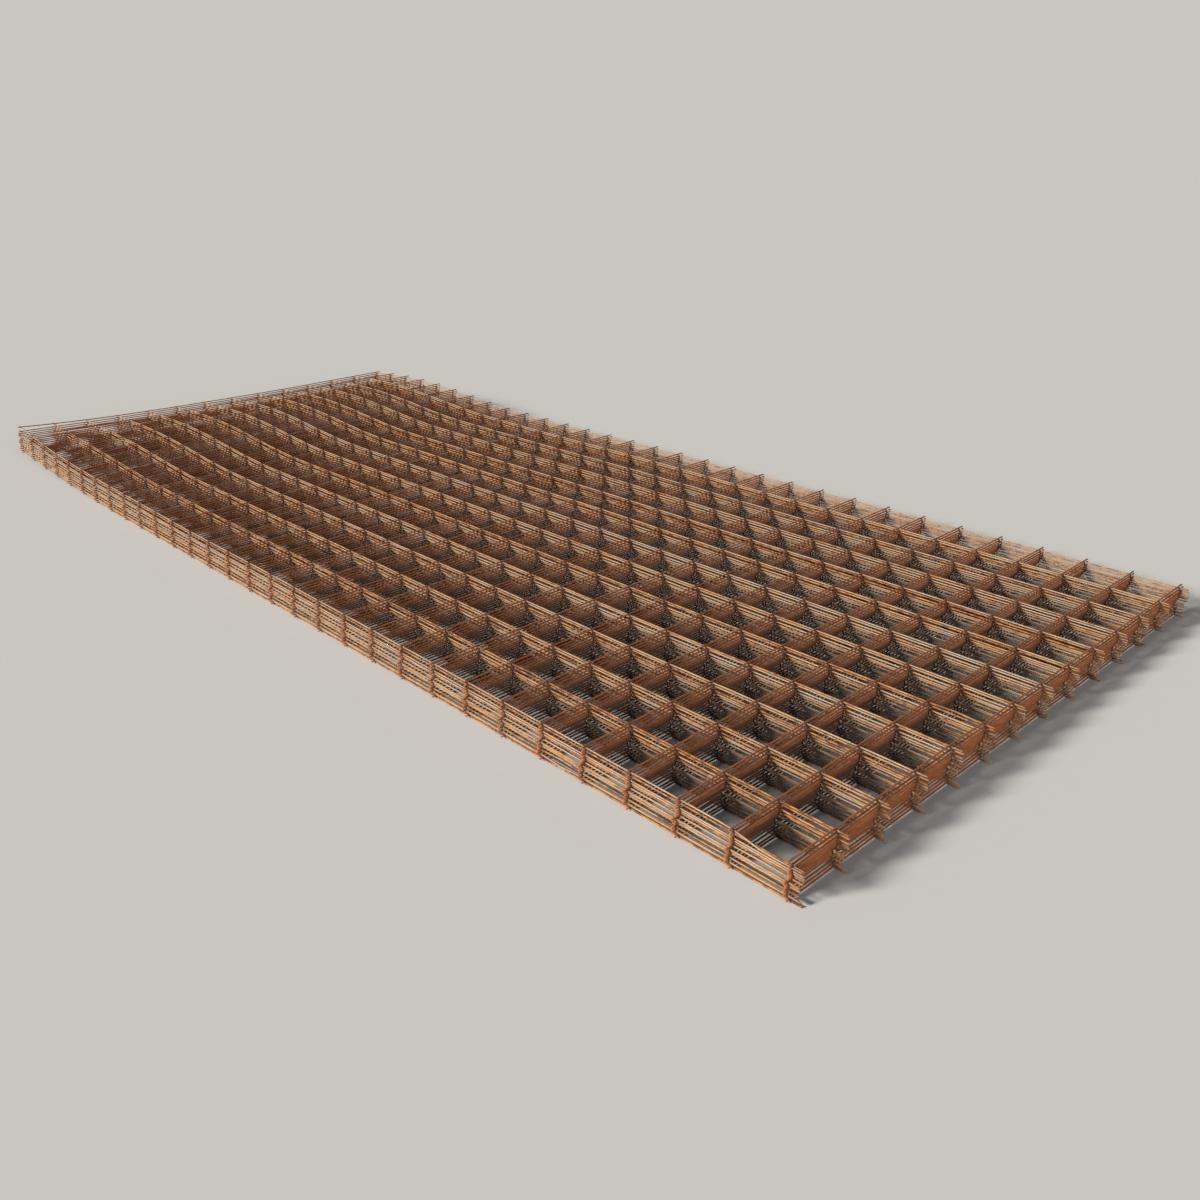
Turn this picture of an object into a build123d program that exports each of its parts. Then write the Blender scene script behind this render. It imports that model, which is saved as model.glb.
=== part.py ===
from build123d import *
import math
import os

# A stack of flat welded reinforcing mesh sheets, lying on the ground with one short end turned up.
#
# Every sheet is 14 long wires with 31 cross wires welded on top of them, in a square mesh. A wire is an
# eight-sided bar whose flats face up, down and sideways, so that the sheets rest flat on each other.
# A sheet is written as two nodes that meet face to face: its flat run, and the end that is turned up.
# +X runs along the long wires, away from the turned-up end, +Y along the cross wires and +Z up.
# The origin is on the ground, under the middle of the stack.

# ---- Driving dimensions, in millimetres ----
wire = 4.0  # wire diameter, across the flats
wire_sides = 8  # with a flat facing up, down and to each side
set_down = 0.8  # depth that the welding presses a cross wire into a long wire
mesh = 150.0  # spacing of the wires, both ways
long_wires = 14
cross_wires = 31
end_overhang = 30.0  # long wire past the outermost cross wire
near_overhang = 13.0  # cross wire past the long wire at the -Y edge
far_overhang = 27.0  # cross wire past the long wire at the +Y edge
sheets = 13
rest_gap = 0.1  # air between a sheet and the one that it rests on
turned_up = 800.0  # how much of the lowest sheet's length curves upwards
bend_radius = 4900.0  # of the curve, to the underside of the lowest sheet
end_scatter = 5.0  # how far a sheet lies off the others, lengthways
end_wave = 0.62  # radians of that scatter's slow wave from one sheet to the next
end_phase = 2.2  # where the lowest sheet lies on that wave
side_scatter = 4.0  # how far a sheet lies off the others, sideways
side_wave = 1.7  # radians of that scatter's wave from one sheet to the next
side_phase = 1.1  # where the lowest sheet lies on it
stack_lean = 6.0  # how far the top sheet lies further back than the lowest

# ---- What follows from them ----
sheet_height = 2 * wire - set_down
stack_pitch = sheet_height + rest_gap
weld_rise = wire - set_down  # from a long wire's centre to a cross wire's
long_wire_length = (cross_wires - 1) * mesh + 2 * end_overhang
cross_wire_length = (long_wires - 1) * mesh + near_overhang + far_overhang
long_middle = (near_overhang - far_overhang) / 2  # of the long wires, off the middle of the cross wires

# The node of the turned-up end takes as many cross wires as it needs to hold the whole bend, and the
# joint with the flat run lies half a mesh past the last of them.
end_cross_wires = math.ceil((turned_up + end_scatter - end_overhang) / mesh + 0.5)
end_length = (end_cross_wires - 0.5) * mesh + end_overhang
run_length = long_wire_length - end_length
run_cross_wires = cross_wires - end_cross_wires
flat_up = 180 / wire_sides  # turns a wire's outline until a flat faces up


def centred(places):
    """The same places, moved together until they reach as far to one side of 0 as to the other."""
    middle = (max(places) + min(places)) / 2
    return [place - middle for place in places]


def bend_angle(sheet, scatter):
    """The angle in degrees that a sheet's end turns through, from its wires' length past the bend."""
    neutral_radius = bend_radius - sheet * stack_pitch - wire / 2
    return math.degrees((turned_up - scatter) / neutral_radius)


def tip_reach(sheet, scatter):
    """How far a turned-up tip lies past the start of the bend, measured level at its underside."""
    radius = bend_radius - sheet * stack_pitch
    return radius * math.sin(math.radians(bend_angle(sheet, scatter)))


# The sheets were dropped on each other by hand: each lies a little off the one below.
lengthways = centred([end_scatter * math.sin(end_wave * k + end_phase) for k in range(sheets)])
sideways = centred([
    stack_lean * k / (sheets - 1) + side_scatter * math.sin(side_wave * k + side_phase)
    for k in range(sheets)
])

# The bend starts at one place for the whole stack, where the middle of its length comes to the origin.
straight_length = long_wire_length - turned_up
farthest_tip = max(tip_reach(k, lengthways[k]) for k in range(sheets))
farthest_square_end = straight_length + max(lengthways)
bend_start = (farthest_tip - farthest_square_end) / 2
joint = bend_start + straight_length - run_length  # where the two nodes of an unscattered sheet meet


def wire_section():
    """One wire's eight-sided outline."""
    RegularPolygon(radius=wire / 2, side_count=wire_sides, major_radius=False, rotation=flat_up)


def long_wire_sections(x, z):
    """The outlines of all long wires, side by side, on an upright plane across the stack."""
    with BuildSketch(Plane(origin=(x, long_middle, z), x_dir=(0, 1, 0), z_dir=(1, 0, 0))) as sections:
        with GridLocations(mesh, mesh, long_wires, 1):
            wire_section()
    return sections.sketch


# ---- The flat run of a sheet, its joint with the end at X = 0 and its underside at Z = 0 ----
with BuildPart() as flat_run:
    extrude(long_wire_sections(0, wire / 2), amount=run_length)
    first_cross = mesh / 2
    with BuildSketch(Plane.XZ.offset(-cross_wire_length / 2)):
        with Locations((first_cross + (run_cross_wires - 1) * mesh / 2, wire / 2 + weld_rise)):
            with GridLocations(mesh, mesh, run_cross_wires, 1):
                wire_section()
    extrude(amount=cross_wire_length)


def turned_up_end(sheet, scatter):
    """The turned-up end of one sheet, lying where it belongs lengthways and in height."""
    underside = sheet * stack_pitch
    curve_centre = bend_radius
    long_centre = underside + wire / 2
    turn = bend_angle(sheet, scatter)
    straight = joint + scatter - bend_start
    neutral_radius = curve_centre - long_centre

    # Where each cross wire is welded on: along the straight first, then round the curve.
    weld_planes = []
    for cross in range(end_cross_wires):
        along = (cross + 0.5) * mesh
        past_bend = along - straight
        slope = max(0.0, past_bend / neutral_radius)
        radius = neutral_radius - weld_rise
        x = bend_start - min(0.0, past_bend) - radius * math.sin(slope)
        z = curve_centre - radius * math.cos(slope)
        weld_planes.append(Plane(
            origin=(x, -cross_wire_length / 2, z),
            x_dir=(math.cos(slope), 0, -math.sin(slope)),
            z_dir=(0, 1, 0),
        ))

    with BuildPart() as end:
        sections = long_wire_sections(bend_start, long_centre)
        extrude(sections, amount=straight)
        revolve(sections, axis=Axis((bend_start, 0, curve_centre), (0, 1, 0)), revolution_arc=turn)
        with BuildSketch(*weld_planes):
            wire_section()
        extrude(amount=cross_wire_length)
    return end.part


# ---- The stack, from the ground up ----
os.makedirs("parts", exist_ok=True)
for sheet in range(sheets):
    with BuildPart() as run:
        with Locations((joint + lengthways[sheet], sideways[sheet], sheet * stack_pitch)):
            add(flat_run.part, clean=False)
    with BuildPart() as end:
        with Locations((0, sideways[sheet], 0)):
            add(turned_up_end(sheet, lengthways[sheet]), clean=False)
    for piece, place in ((run, "flat_run"), (end, "turned_up_end")):
        name = f"mesh_sheet_{sheet + 1:02d}_{place}"
        piece.part.label = name
        export_step(piece.part, f"parts/{name}.step", write_pcurves=False)
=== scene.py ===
import bpy
import math
import numpy as np
from mathutils import Matrix, Vector


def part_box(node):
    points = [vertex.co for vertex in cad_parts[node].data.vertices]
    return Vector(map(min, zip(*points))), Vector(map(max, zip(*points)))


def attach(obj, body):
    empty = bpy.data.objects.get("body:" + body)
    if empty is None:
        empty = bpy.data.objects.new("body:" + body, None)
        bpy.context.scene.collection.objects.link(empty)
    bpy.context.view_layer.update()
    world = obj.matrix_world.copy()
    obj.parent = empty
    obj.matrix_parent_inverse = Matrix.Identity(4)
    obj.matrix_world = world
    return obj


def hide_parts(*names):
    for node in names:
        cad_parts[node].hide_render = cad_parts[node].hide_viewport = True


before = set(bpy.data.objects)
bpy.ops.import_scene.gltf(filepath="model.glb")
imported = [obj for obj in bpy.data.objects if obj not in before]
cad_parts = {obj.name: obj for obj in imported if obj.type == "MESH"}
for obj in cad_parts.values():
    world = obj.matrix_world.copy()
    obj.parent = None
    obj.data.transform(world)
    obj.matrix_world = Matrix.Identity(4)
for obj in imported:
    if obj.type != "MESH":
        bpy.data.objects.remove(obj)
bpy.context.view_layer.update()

# ---- The mesh sheets: how they lie ----
# Each sheet is 14 long wires with 31 cross wires resistance-welded on top of them. It rests on the sheet
# below where the two happen to touch, and springs and sags in between, so its height changes all over.
SHEET_NAMES = sorted({node.rsplit("_flat_run")[0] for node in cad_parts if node.endswith("_flat_run")})
TOP_SHEET = len(SHEET_NAMES) - 1
LONG_WIRES = 14
CROSS_WIRES = 31
CELLS_ALONG = CROSS_WIRES - 1
CELLS_ACROSS = LONG_WIRES - 1
END_OVERHANG = 0.030  # long wire past the outermost cross wire
NEAR_OVERHANG = 0.013  # cross wire past the long wire at the near edge
FAR_OVERHANG = 0.027  # cross wire past the long wire at the far edge
WIRE = 0.0040  # nominal diameter

# Places in the sheets are counted in meshes: j from the right end to the left, w from the near edge back.
runs = [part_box(name + "_flat_run") for name in SHEET_NAMES]
right_cross_wire = np.array([high.x - END_OVERHANG for low, high in runs])
near_long_wire = np.array([low.y + NEAR_OVERHANG for low, high in runs])
underside = np.array([low.z for low, high in runs])
MESH = (runs[0][1].y - FAR_OVERHANG - near_long_wire[0]) / CELLS_ACROSS
WELD_RISE = runs[0][1].z - runs[0][0].z - WIRE  # from a long wire's centre to a cross wire's


def soft_step(t):
    """3t² - 2t³ with t held between 0 and 1: a rise from 0 to 1 that starts and ends level."""
    t = np.clip(t, 0.0, 1.0)
    return t * t * (3.0 - 2.0 * t)


WAVES = 5
WAVE_SPREAD = (0.7, 1.6)  # the shortest and the longest wave, as shares of the reach
WAVES_CREST = 3.2  # about as high as the waves come together


def slow_waves(seed, j, w, reach):
    """A smooth chance field over the sheet, about -1 to 1: the sum of five plane waves, each
    sin(a·j + b·w + c), with chance directions and phases, and lengths of about `reach` meshes."""
    chance = np.random.default_rng(seed)
    total = np.zeros(np.broadcast(j, w).shape)
    for _ in range(WAVES):
        heading = chance.uniform(0.0, math.tau)
        number = math.tau / (reach * chance.uniform(*WAVE_SPREAD))
        phase = chance.uniform(0.0, math.tau)
        total = total + np.sin(number * (math.cos(heading) * j + math.sin(heading) * w) + phase)
    return total / WAVES_CREST


END_LIFT_START = 23.0  # where the left end starts to rise
NEAR_RISE_RADIUS = 11.5  # metres, of the rise along the near edge
NEAR_RISE_REACH = 3.4  # meshes across which that rise dies away
HUMP_START = 21.5
HUMP_LENGTH = 11.0  # the hump's whole length in meshes; the sheets end before it does
HUMP_HEIGHT = 0.041
HUMP_NEAR_LOSS = 0.9  # share of the hump that the near edge lacks
HUMP_NEAR_REACH = 1.6
CURL_START = 27.4
CURL_LENGTH = 2.4
CURL_HEIGHT = 0.011
CURL_REACH = 1.3


def end_lift(j, w):
    """Height by which the left end of the stack is bent up: a circle's rise s²/2r along the near edge,
    dying away across the stack, plus a long sin² hump that the far side follows more than the near."""
    across = np.clip(w, 0.0, None)
    along = np.clip(j - END_LIFT_START, 0.0, None) * MESH
    near_rise = along**2 / (2.0 * NEAR_RISE_RADIUS) * np.exp(-across / NEAR_RISE_REACH)
    turn = np.clip((j - HUMP_START) / HUMP_LENGTH, 0.0, 1.0) * math.pi
    share = 1.0 - HUMP_NEAR_LOSS * np.exp(-across / HUMP_NEAR_REACH)
    return near_rise + HUMP_HEIGHT * np.sin(turn) ** 2 * share


def top_curl(j, w):
    """Extra height of the top sheet alone, whose near left corner springs up off the sheet below."""
    rise = CURL_HEIGHT * soft_step((j - CURL_START) / CURL_LENGTH)
    return rise * np.exp(-np.clip(w, 0.0, None) / CURL_REACH)


LOOSE_MIDDLE = 0.013  # how much thicker than tight the stack lies in its middle
LOOSE_LENGTH = 7.0  # meshes over which it gets there from the right end
LOOSE_CHANCE = 0.2  # how unevenly the stack lies loose
LOOSE_SEED = 5
LOOSE_REACH = 9.0
RIGHT_END_BULGE = 0.008
RIGHT_END_BULGE_AT = 4.0  # meshes from the near edge
RIGHT_END_BULGE_WIDTH = 2.2
RIGHT_END_BULGE_LENGTH = 5.0
GAP_CHANCE = 0.25  # how unevenly the looseness is shared out over the gaps
GAP_SEED = 40
GAP_REACH = 11.0
UPPER_GAPS = 0.5  # how much wider the upper gaps are near the right end
UPPER_FROM = 4.0  # the gap from which they widen, and over how many gaps
UPPER_OVER = 4.0
UPPER_LENGTH = 9.0  # meshes over which that dies away from the right end
LOWEST_LIFT = 0.9  # share of the end's lift that the lowest sheet follows


def looseness(j, w):
    """How much thicker than tight the whole stack lies: 0 at the right end, rising as 1 - exp(-j/l), with
    a bulge at the right end, where the sheets have sprung apart."""
    run = np.clip(j, 0.0, None)
    middle = LOOSE_MIDDLE * (1.0 - np.exp(-run / LOOSE_LENGTH))
    middle = middle * (1.0 + LOOSE_CHANCE * slow_waves(LOOSE_SEED, j, w, LOOSE_REACH))
    across = (w - RIGHT_END_BULGE_AT) / RIGHT_END_BULGE_WIDTH
    return middle + RIGHT_END_BULGE * np.exp(-(across**2) - (run / RIGHT_END_BULGE_LENGTH) ** 2)


def sheet_heights(j, w):
    """Height of every sheet's underside over the ground, as [sheet, ...]: the tight stack, plus the
    looseness shared out over the gaps below it by smooth chance weights exp(n), plus the lift."""
    weights = []
    for gap in range(TOP_SHEET):
        upper = UPPER_GAPS * soft_step((gap - UPPER_FROM) / UPPER_OVER)
        upper = upper * np.exp(-np.clip(j, 0.0, None) / UPPER_LENGTH)
        weights.append(np.exp(GAP_CHANCE * slow_waves(GAP_SEED + gap, j, w, GAP_REACH) + upper))
    weights = np.array(weights)
    gaps = looseness(j, w) * weights / weights.sum(axis=0)
    risen = np.concatenate([np.zeros((1,) + gaps.shape[1:]), np.cumsum(gaps, axis=0)])
    share = np.linspace(LOWEST_LIFT, 1.0, TOP_SHEET + 1).reshape((-1,) + (1,) * (risen.ndim - 1))
    heights = underside.reshape(share.shape) + risen + share * end_lift(j, w)
    heights[TOP_SHEET] += top_curl(j, w)
    return heights


# ---- The mesh sheets: their wires ----
# Ribbed wire, drawn cold, straightened, cut and welded. Every span between two welds bows a little, and
# some outer spans and ends were knocked out of line when the sheets were dropped and dragged.
RIB_HEIGHT = 0.0003  # the wire is this much thicker over its ribs, all round
RINGS_PER_CELL = 4
SIDES = 8
SPAN_BOW = 0.00022  # usual bow of a span between two welds
BENT_CHANCE = 0.1  # share of the spans that bow further, and how many times as far
BENT_TIMES = 2.5
WIRE_WANDER = 0.0006  # how far a wire wanders off its straight line
WANDER_TURNS = (2.0, 9.0)  # radians of the slow sine over a wire's length, least and most
WANDER_WAVE = 0.5  # the sine's size, as a share of the wander
SHEET_TURN = 0.0005  # radians by which a sheet lies turned on the others

# Spans knocked out of line: sheet from the ground up, family, wire, first and last mesh along it, and how
# far its middle stands out sideways and upwards.
KNOCKED_SPANS = [
    (4, "long", 0, 4.0, 5.0, -0.0010, 0.0050),
    (3, "long", 0, 4.0, 5.0, -0.0010, -0.0035),
    (8, "long", 0, 0.0, 1.0, 0.0000, 0.0015),
    (6, "long", 0, 26.0, 28.0, -0.0030, 0.0035),
    (5, "long", 0, 25.0, 28.0, -0.0020, -0.0025),
    (12, "long", 9, 1.0, 2.0, -0.0090, 0.0010),
    (13, "long", 5, 0.0, 1.0, 0.0040, 0.0010),
    (13, "long", 1, 6.0, 7.0, 0.0030, 0.0000),
    (12, "cross", 2, 3.0, 4.0, 0.0050, 0.0010),
    (13, "cross", 0, 4.0, 6.0, 0.0035, 0.0015),
]


# Right ends torn off their welds: sheet, long wire, where the tear starts, where the wire lies down again,
# and how far it then stands out sideways and upwards.
TORN_ENDS = [(13, 0, 1.10, 0.40, -0.0060, -0.0085)]


def stations(cells, start_overhang, end_overhang):
    """Places of a wire's rings in meshes from its first weld: its start, RINGS_PER_CELL a mesh between
    the first and the last weld, and its end."""
    welds = np.linspace(0.0, cells, cells * RINGS_PER_CELL + 1)
    return np.concatenate([[-start_overhang / MESH], welds, [cells + end_overhang / MESH]])


def knocked(sheet, kind, wires, places):
    """Sideways and upward offsets of [wire, ring] from KNOCKED_SPANS, each a sin² bump over its span."""
    sideways = np.zeros((wires, len(places)))
    upwards = np.zeros((wires, len(places)))
    for number, family, wire, first, last, out, up in KNOCKED_SPANS:
        if number == sheet + 1 and family == kind:
            turn = np.clip((places - first) / (last - first), 0.0, 1.0) * math.pi
            sideways[wire] += out * np.sin(turn) ** 2
            upwards[wire] += up * np.sin(turn) ** 2
    return sideways, upwards


def torn(sheet, places):
    """Sideways and upward offsets of [wire, ring] from TORN_ENDS: a smooth step from the tear on."""
    sideways = np.zeros((LONG_WIRES, len(places)))
    upwards = np.zeros((LONG_WIRES, len(places)))
    for number, wire, first, last, out, up in TORN_ENDS:
        if number == sheet + 1:
            fallen = soft_step((first - places) / (first - last))
            sideways[wire] += out * fallen
            upwards[wire] += up * fallen
    return sideways, upwards


def bows(chance, wires, places, size):
    """Chance bows of [wire, ring]: a·|sin(π·place)| with a new a for every span, so that it is 0 at each
    weld. A few of the spans bow further, and the ends past the welds not at all."""
    spans = np.clip(np.floor(places).astype(int) + 1, 0, int(places[-1]) + 1)
    amounts = chance.normal(0.0, size, (wires, spans.max() + 1))
    amounts *= np.where(chance.random(amounts.shape) < BENT_CHANCE, BENT_TIMES, 1.0)
    amounts[:, [0, -1]] = 0.0
    return amounts[:, spans] * np.abs(np.sin(math.pi * places))


def wander(chance, wires, places, size):
    """How far each of [wire, ring] wanders off its line: a straight skew plus one slow sine."""
    t = places / places[-1]
    skew = chance.normal(0.0, size, (wires, 1)) + chance.normal(0.0, size, (wires, 1)) * (t - 0.5)
    number = chance.uniform(*WANDER_TURNS, (wires, 1))
    phase = chance.uniform(0.0, math.tau, (wires, 1))
    return skew + WANDER_WAVE * size * np.sin(number * t + phase)


def long_wire_paths(sheet, chance, turn, along):
    """Centre lines [wire, ring, 3] of a sheet's long wires: straight lines a mesh apart that follow the
    sheet's height, plus wander, bows and knocks. The lowest sheet's only bow upwards, off the ground."""
    j, w = np.broadcast_arrays(along[None, :], np.arange(LONG_WIRES)[:, None])
    out, up = np.add(knocked(sheet, "long", LONG_WIRES, along), torn(sheet, along))
    x = right_cross_wire[sheet] - j * MESH
    y = near_long_wire[sheet] + w * MESH + turn * (j - CELLS_ALONG / 2) * MESH + out
    y = y + wander(chance, LONG_WIRES, along, WIRE_WANDER) + bows(chance, LONG_WIRES, along, SPAN_BOW)
    up = up + bows(chance, LONG_WIRES, along, SPAN_BOW)
    up = np.abs(up) if sheet == 0 else up
    return np.stack([x, y, sheet_heights(j, w)[sheet] + WIRE / 2 + RIB_HEIGHT + up], axis=-1)


def cross_wire_paths(sheet, chance, turn, over):
    """Centre lines [wire, ring, 3] of a sheet's cross wires, made as the long ones are, on top of them."""
    w, j = np.broadcast_arrays(over[None, :], np.arange(CROSS_WIRES)[:, None])
    out, up = knocked(sheet, "cross", CROSS_WIRES, over)
    x = right_cross_wire[sheet] - j * MESH + turn * (w - CELLS_ACROSS / 2) * MESH + out
    x = x + wander(chance, CROSS_WIRES, over, WIRE_WANDER) + bows(chance, CROSS_WIRES, over, SPAN_BOW)
    y = near_long_wire[sheet] + w * MESH + turn * (j - CELLS_ALONG / 2) * MESH
    up = up + WELD_RISE + bows(chance, CROSS_WIRES, over, SPAN_BOW)
    return np.stack([x, y, sheet_heights(j, w)[sheet] + WIRE / 2 + RIB_HEIGHT + up], axis=-1)


def tubes(paths, sideways, radius):
    """Round bars along paths [wire, ring, 3]: each ring is a circle of `radius` [wire, ring] square to the
    path, c + r·(cos a·u + sin a·v), where u is `sideways` made square to the path and v = path x u.
    Gives the points [wire, ring, side, 3], the quads [wire, ring, side, 4] and the end faces."""
    wires, rings = paths.shape[:2]
    ahead = np.gradient(paths, axis=1)
    ahead /= np.linalg.norm(ahead, axis=2, keepdims=True)
    across = sideways - ahead * (ahead @ sideways)[..., None]
    across /= np.linalg.norm(across, axis=2, keepdims=True)
    over = np.cross(ahead, across)
    angles = np.arange(SIDES) * math.tau / SIDES
    circle = across[:, :, None] * np.cos(angles)[:, None] + over[:, :, None] * np.sin(angles)[:, None]
    points = paths[:, :, None] + radius[:, :, None, None] * circle
    index = np.arange(wires * rings * SIDES).reshape(wires, rings, SIDES)
    here, there = index[:, :-1], index[:, 1:]
    quads = np.stack([here, np.roll(here, -1, axis=2), np.roll(there, -1, axis=2), there], axis=-1)
    caps = np.stack([index[:, 0, ::-1], index[:, -1]], axis=1)
    return points, quads, caps


MAP_LENGTH = 2.45  # metres of wire that one row of the flat map holds; a long wire takes two rows
MAP_ROWS = 2 * LONG_WIRES + CROSS_WIRES
MAP_FILL = 0.8  # share of a row's height that the wire fills
CAP_PLACES = (0.96, 0.98)  # where a wire's two end faces lie along its row


def flat_map(places, wires, first_row, rows):
    """The wires unrolled into rows of a square map, for quad corners [wire, ring, side, 4, 2] and cap
    corners [wire, 2, side, 2]: u is the way along, v the way round, and a wire folds over its rows."""
    rings = len(places)
    fold = -(-rings // rows)
    ring = np.arange(rings - 1)
    row = first_row + np.arange(wires)[:, None] * rows + ring[None, :] // fold
    start = places[(ring // fold) * fold]
    corner_ring = ring[:, None] + np.array([0, 0, 1, 1])
    u = (places[corner_ring] - start[:, None]) * MESH / MAP_LENGTH
    v = (np.arange(SIDES)[:, None] + np.array([0, 1, 1, 0])) / SIDES * MAP_FILL
    u = np.broadcast_to(u[None, :, None, :], (wires, rings - 1, SIDES, 4))
    v = (v[None, None] + row[:, :, None, None]) / MAP_ROWS
    angles = np.arange(SIDES) * math.tau / SIDES
    disc = 0.5 * MAP_FILL / MAP_ROWS * np.stack([np.cos(angles), np.sin(angles)], axis=-1)
    cap_row = first_row + np.arange(wires)[:, None] * rows + 0.5 * MAP_FILL
    cap_middle = np.stack(np.broadcast_arrays(CAP_PLACES, cap_row / MAP_ROWS), axis=-1)
    return np.stack([u, v], axis=-1), cap_middle[:, :, None] + disc


WELD_FADE = 12.0  # a weld's mark reaches one mesh over this far
# Painted shade: the wire darkens the deeper it lies below the top sheet and the further in from an edge,
# standing in for the shade between the sheets.
PAINTED_SHADE_FROM = 1.5  # sheets below the top one where the painted shade starts, and over how many it grows full
PAINTED_SHADE_OVER = 6.0
PAINTED_SHADE_WAY_IN = 0.7  # meshes in from an edge where it is full


def near_weld(places):
    """1 at a weld, falling to 0 a twelfth of a mesh away from it."""
    return np.clip(1.0 - np.abs(places - np.round(places)) * WELD_FADE, 0.0, 1.0)


def painted_shade_amount(sheet, j, w):
    """How much painted shade a place gets, 0 to 1, standing in for the shade deep in the stack: it grows
    with the number of sheets above and with the way in from the nearest edge, s(depth)·s(way in), both smooth
    steps."""
    depth = soft_step((TOP_SHEET - sheet - PAINTED_SHADE_FROM) / PAINTED_SHADE_OVER)
    way_in = np.minimum(np.minimum(w, CELLS_ACROSS - w), np.minimum(j, CELLS_ALONG - j))
    return depth * soft_step(way_in / PAINTED_SHADE_WAY_IN)


def make_mesh(name, points, faces, face_map, attributes):
    """A mesh from arrays of quads and caps, smooth round its quads and flat on its caps, with its flat map
    and its named point attributes."""
    quads, caps = faces
    mesh = bpy.data.meshes.new(name)
    sizes = np.concatenate([np.full(len(quads), 4), np.full(len(caps), SIDES)])
    starts = np.concatenate([[0], np.cumsum(sizes)[:-1]])
    corners = np.concatenate([quads.ravel(), caps.ravel()])
    mesh.vertices.add(len(points))
    mesh.vertices.foreach_set("co", points.astype(np.float32).ravel())
    mesh.loops.add(len(corners))
    mesh.loops.foreach_set("vertex_index", corners.astype(np.int32))
    mesh.polygons.add(len(sizes))
    mesh.polygons.foreach_set("loop_start", starts.astype(np.int32))
    mesh.polygons.foreach_set("use_smooth", sizes == 4)
    for key, values in attributes.items():
        layer = mesh.attributes.new(key, "FLOAT", "POINT")
        layer.data.foreach_set("value", values.astype(np.float32).ravel())
    unrolled = mesh.uv_layers.new(name="OFBake")
    unrolled.data.foreach_set("uv", face_map.astype(np.float32).ravel())
    mesh.update(calc_edges=True)
    mesh.validate()
    return mesh


# ---- The mesh sheets: the rusted wire's finish ----
# Steel wire left out in the rain: orange-brown rust over grey mill scale, paler and drier where the weather
# and the light reach it. Deep between the sheets it is darkened by painted shade, standing in for the shade
# there.
class Wave:
    """A shader socket on which +, - and * make Math nodes, so that a mask is written as it is said."""

    def __init__(self, tree, socket=None):
        self.tree = tree
        self.socket = socket

    def node(self, kind, settings=(), output=0, **values):
        """A node of this kind, its settings made first, then its sockets given values or links. A socket
        is named by its name with _ for spaces, or by _ and its number. Gives one output as a Wave."""
        made = self.tree.nodes.new(kind)
        for key, value in dict(settings).items():
            setattr(made, key, value)
        for key, value in values.items():
            name = int(key[1:]) if key[0] == "_" else key.replace("_", " ")
            if isinstance(value, Wave):
                self.tree.links.new(value.socket, made.inputs[name])
            else:
                made.inputs[name].default_value = value
        return Wave(self.tree, made.outputs[output] if made.outputs else None)

    def combine(self, operation, first, second):
        return self.node("ShaderNodeMath", {"operation": operation}, _0=first, _1=second)

    def __add__(self, other):
        return self.combine("ADD", self, other)

    def __radd__(self, other):
        return self.combine("ADD", other, self)

    def __sub__(self, other):
        return self.combine("SUBTRACT", self, other)

    def __rsub__(self, other):
        return self.combine("SUBTRACT", other, self)

    def __mul__(self, other):
        return self.combine("MULTIPLY", self, other)

    def __rmul__(self, other):
        return self.combine("MULTIPLY", other, self)

    def window(self, low, high):
        """0 below `low`, 1 above `high`, and a smooth step between."""
        return self.node(
            "ShaderNodeMapRange", {"interpolation_type": "SMOOTHSTEP"},
            Value=self, From_Min=low, From_Max=high,
        )

    def blend(self, first, second):
        """A colour that goes from the first to the second as this mask goes from 0 to 1."""
        first = first if isinstance(first, Wave) else (*first, 1.0)
        second = second if isinstance(second, Wave) else (*second, 1.0)
        return self.node("ShaderNodeMix", {"data_type": "RGBA"}, output=2, Factor=self, _6=first, _7=second)


RUST_BROWN = (0.078, 0.025, 0.007)
RUST_ORANGE = (0.225, 0.084, 0.018)
RUST_RED = (0.215, 0.056, 0.010)
RUST_TAN = (0.285, 0.155, 0.056)
PIT_DARK = (0.020, 0.008, 0.004)
SCALE_GREY = (0.255, 0.210, 0.175)
SCALE_DARK = (0.055, 0.047, 0.050)
# Painted shade: the near-black that the wire is darkened towards deep in the stack.
PAINTED_SHADE_DARK = (0.020, 0.012, 0.008)
RIB_SPACING = 0.0045
PATCHES = (9.0, 4.0, 0.55, 0.0)  # noise: its scale, detail and roughness, and where it starts
BLOTCHES = (55.0, 4.0, 0.55, 3.0)
GRAINS = (420.0, 3.0, 0.70, 5.0)
TONE_SHIFT = 7.0  # how far two wires' noises lie apart
BUMP_STRENGTH = 0.55
BUMP_HEIGHT = 0.0004


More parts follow.
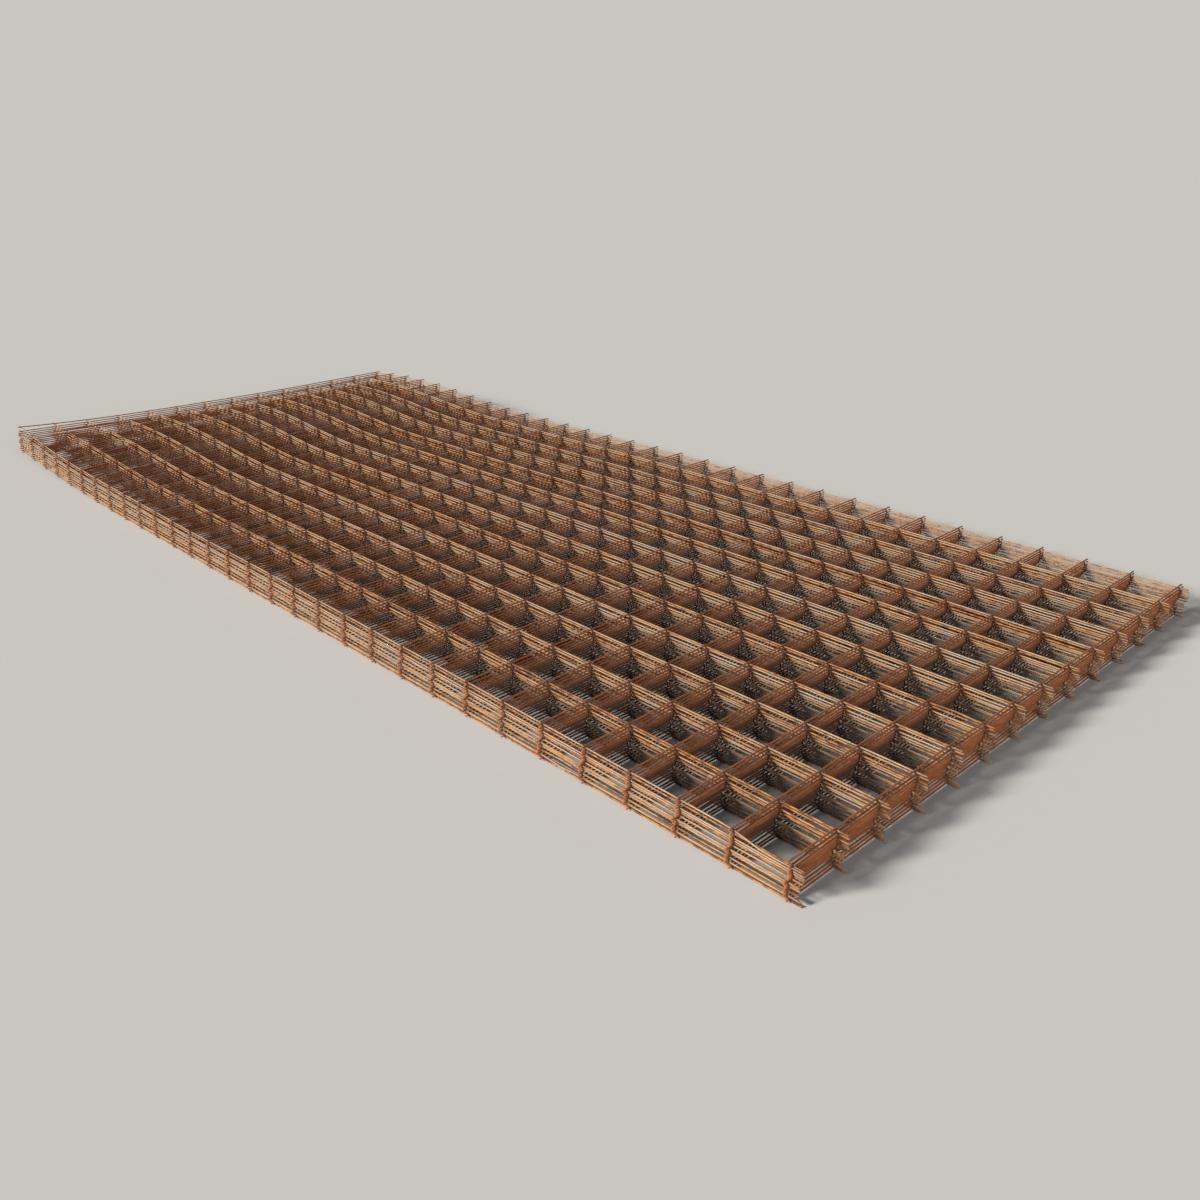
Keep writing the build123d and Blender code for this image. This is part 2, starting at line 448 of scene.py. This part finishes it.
def rusted_steel():
    """The wire's material. Masks from noise in Object coordinates pick between rust and mill scale, and
    the wire's own attributes say its family, its own tone, how far along it a point is, how near a weld
    and how much painted shade it gets, a darkening that stands in for the shade deep in the stack."""
    material = bpy.data.materials.new("rusted_steel")
    material.use_nodes = True
    material.node_tree.nodes.clear()
    start = Wave(material.node_tree)
    place = start.node("ShaderNodeTexCoord", output="Object")
    cross, tone, along, weld, painted_shade = (
        start.node("ShaderNodeAttribute", {"attribute_name": name}, output="Fac")
        for name in ("cross", "tone", "along", "weld", "painted_shade")
    )

    def noise(scale, detail, roughness, offset):
        return start.node(
            "ShaderNodeTexNoise", {"noise_dimensions": "4D"},
            Vector=place, Scale=scale, Detail=detail, Roughness=roughness, W=tone * TONE_SHIFT + offset,
        )

    patches = noise(*PATCHES)
    blotches = noise(*BLOTCHES)
    grains = noise(*GRAINS)

    colour = (blotches + 0.25 * grains).window(0.52, 0.74).blend(RUST_BROWN, RUST_ORANGE)
    dry = (0.7 * patches + 0.5 * blotches + 0.4 * tone - 0.35 * cross).window(0.55, 0.95)
    colour = dry.blend(colour, RUST_TAN)
    colour = (0.62 * cross).blend(colour, RUST_RED)
    bare = (blotches + 0.6 * patches - 0.35 * cross + 0.35 * tone).window(0.93, 1.12)
    scale = grains.window(0.35, 0.65).blend(SCALE_DARK, SCALE_GREY)
    colour = (0.75 * bare).blend(colour, scale)
    colour = (0.7 * (grains + 0.4 * blotches).window(0.78, 0.98)).blend(colour, PIT_DARK)
    colour = (0.45 * weld).blend(colour, RUST_BROWN)
    # Painted shade: darkened deep in the stack and away from its edges, standing in for the shade between the
    # sheets.
    colour = (0.80 * painted_shade).blend(colour, PAINTED_SHADE_DARK)

    ribs = start.node("ShaderNodeMath", {"operation": "SINE"}, _0=along * (math.tau / RIB_SPACING))
    height = 0.35 * ribs + 1.6 * grains + 1.2 * blotches
    bump = start.node("ShaderNodeBump", Strength=BUMP_STRENGTH, Distance=BUMP_HEIGHT, Height=height)
    shader = start.node(
        "ShaderNodeBsdfPrincipled",
        Base_Color=colour, Roughness=0.88 - 0.3 * bare, Metallic=bare * 0.35, Normal=bump,
    )
    start.node("ShaderNodeOutputMaterial", Surface=shader)
    return material


RUSTED_STEEL = rusted_steel()
DIAMETER_CHANCE = 0.02  # share by which a wire is thicker or thinner from ring to ring
SHEET_SEED = 900

for sheet, name in enumerate(SHEET_NAMES):
    chance = np.random.default_rng(SHEET_SEED + sheet)
    turn = chance.normal(0.0, SHEET_TURN)
    along = stations(CELLS_ALONG, END_OVERHANG, END_OVERHANG)
    over = stations(CELLS_ACROSS, NEAR_OVERHANG, FAR_OVERHANG)
    families = (
        (0.0, long_wire_paths(sheet, chance, turn, along), (0.0, 1.0, 0.0), along, 0, 2),
        (1.0, cross_wire_paths(sheet, chance, turn, over), (1.0, 0.0, 0.0), over, 2 * LONG_WIRES, 1),
    )
    points, quads, caps, quad_maps, cap_maps = [], [], [], [], []
    attributes = {key: [] for key in ("cross", "tone", "along", "weld", "painted_shade")}
    for cross, paths, sideways, places, first_row, rows in families:
        wires, rings = paths.shape[:2]
        radius = (WIRE / 2 + RIB_HEIGHT) * (1.0 + DIAMETER_CHANCE * chance.uniform(-1.0, 1.0, (wires, rings)))
        skin, sides, ends = tubes(paths, np.array(sideways), radius)
        shift = sum(part.shape[0] for part in points)
        points.append(skin.reshape(-1, 3))
        quads.append(sides.reshape(-1, 4) + shift)
        caps.append(ends.reshape(-1, SIDES) + shift)
        quad_map, cap_map = flat_map(places, wires, first_row, rows)
        quad_maps.append(quad_map.ravel())
        cap_maps.append(cap_map.ravel())
        number = np.arange(wires)[:, None] + 0.0 * places
        j, w = (number, places + 0.0 * number) if cross else (places + 0.0 * number, number)
        whole = np.ones((wires, rings, SIDES))
        attributes["cross"].append(whole * cross)
        attributes["tone"].append(whole * chance.random((wires, 1, 1)))
        attributes["along"].append(whole * (places * MESH)[None, :, None])
        attributes["weld"].append(whole * near_weld(places)[None, :, None])
        # How much painted shade each point gets, standing in for the shade between the sheets.
        attributes["painted_shade"].append(whole * painted_shade_amount(sheet, j, w)[:, :, None])
    mesh = make_mesh(
        name,
        np.concatenate(points),
        (np.concatenate(quads), np.concatenate(caps)),
        np.concatenate(quad_maps + cap_maps),
        {key: np.concatenate([part.ravel() for part in parts]) for key, parts in attributes.items()},
    )
    mesh.materials.append(RUSTED_STEEL)
    piece = bpy.data.objects.new(name, mesh)
    bpy.context.scene.collection.objects.link(piece)
    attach(piece, "root")
    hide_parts(name + "_flat_run", name + "_turned_up_end")

# ---- Studio ----
# A plain pale floor, a low soft key light from the near left, a weaker fill light from the right, and a
# hazy sky that is brightest at the horizon.
FLOOR_HALF = 300.0
FLOOR_GREY = (0.38, 0.38, 0.377, 1)
KEY_HEADING = (0.34, 0.82, -0.36)
FILL_HEADING = (-0.90, 0.25, -0.30)
floor_mesh = bpy.data.meshes.new("floor")
floor_corners = FLOOR_HALF * np.array([(-1, -1, 0), (1, -1, 0), (1, 1, 0), (-1, 1, 0)])
floor_mesh.from_pydata(floor_corners.tolist(), [], [(0, 1, 2, 3)])
floor = bpy.data.objects.new("floor", floor_mesh)
bpy.context.scene.collection.objects.link(floor)
floor_paint = bpy.data.materials.new("floor_paint")
floor_paint.use_nodes = True
floor_paint.node_tree.nodes["Principled BSDF"].inputs["Base Color"].default_value = FLOOR_GREY
floor_paint.node_tree.nodes["Principled BSDF"].inputs["Roughness"].default_value = 1.0
floor_paint.node_tree.nodes["Principled BSDF"].inputs["Specular IOR Level"].default_value = 0.0
floor_mesh.materials.append(floor_paint)

key = bpy.data.objects.new("key_light", bpy.data.lights.new("key_light", "SUN"))
key.data.energy = 10.0
key.data.color = (1.0, 0.95, 0.87)
key.data.angle = math.radians(11.0)
key.rotation_euler = Vector(KEY_HEADING).to_track_quat("-Z", "Y").to_euler()
bpy.context.scene.collection.objects.link(key)

fill = bpy.data.objects.new("fill_light", bpy.data.lights.new("fill_light", "SUN"))
fill.data.energy = 2.2
fill.data.angle = math.radians(30.0)
fill.rotation_euler = Vector(FILL_HEADING).to_track_quat("-Z", "Y").to_euler()
bpy.context.scene.collection.objects.link(fill)

HORIZON_HAZE = (0.585, 0.564, 0.524)  # the tone of the lit floor, far off
ZENITH_HAZE = (0.10, 0.10, 0.105)
HAZE_TOP = (0.10, 0.40)  # heading's Z where the horizon's tone ends, and where the zenith's starts
world = bpy.data.worlds.new("hazy_sky")
world.use_nodes = True
world.node_tree.nodes.clear()
sky = Wave(world.node_tree)
heading = sky.node("ShaderNodeTexCoord", output="Generated")
upwards = sky.node("ShaderNodeSeparateXYZ", output="Z", Vector=heading)
haze = upwards.window(*HAZE_TOP).blend(HORIZON_HAZE, ZENITH_HAZE)
sky.node("ShaderNodeOutputWorld", Surface=sky.node("ShaderNodeBackground", Color=haze))
bpy.context.scene.world = world
bpy.context.scene.view_settings.view_transform = "Standard"

# ---- Camera ----
# It stands off the near right corner of the stack at chest height.
CAMERA_OFFSET = (1.0302, -1.4756)  # from the top sheet's first crossing, lengthways and sideways
CAMERA_HEIGHT = 1.4235
CAMERA_HEADING = math.radians(136.772)
CAMERA_DOWN = math.radians(23.469)
CAMERA_TILT = math.radians(-0.894)
CAMERA_LENS = 32.69

ahead = Vector((
    math.cos(CAMERA_HEADING) * math.cos(CAMERA_DOWN),
    math.sin(CAMERA_HEADING) * math.cos(CAMERA_DOWN),
    -math.sin(CAMERA_DOWN),
))
level = ahead.cross(Vector((0, 0, 1))).normalized()
right = level * math.cos(CAMERA_TILT) + level.cross(ahead) * math.sin(CAMERA_TILT)
up = right.cross(ahead)
camera = bpy.data.objects.new("camera", bpy.data.cameras.new("camera"))
turned = Matrix((right, up, -ahead)).transposed().to_4x4()
stand = Vector((
    right_cross_wire[TOP_SHEET] + CAMERA_OFFSET[0],
    near_long_wire[TOP_SHEET] + CAMERA_OFFSET[1],
    CAMERA_HEIGHT,
))
camera.matrix_world = Matrix.Translation(stand) @ turned
camera.data.lens = CAMERA_LENS
camera.data.sensor_width = 36.0
bpy.context.scene.collection.objects.link(camera)
bpy.context.scene.camera = camera
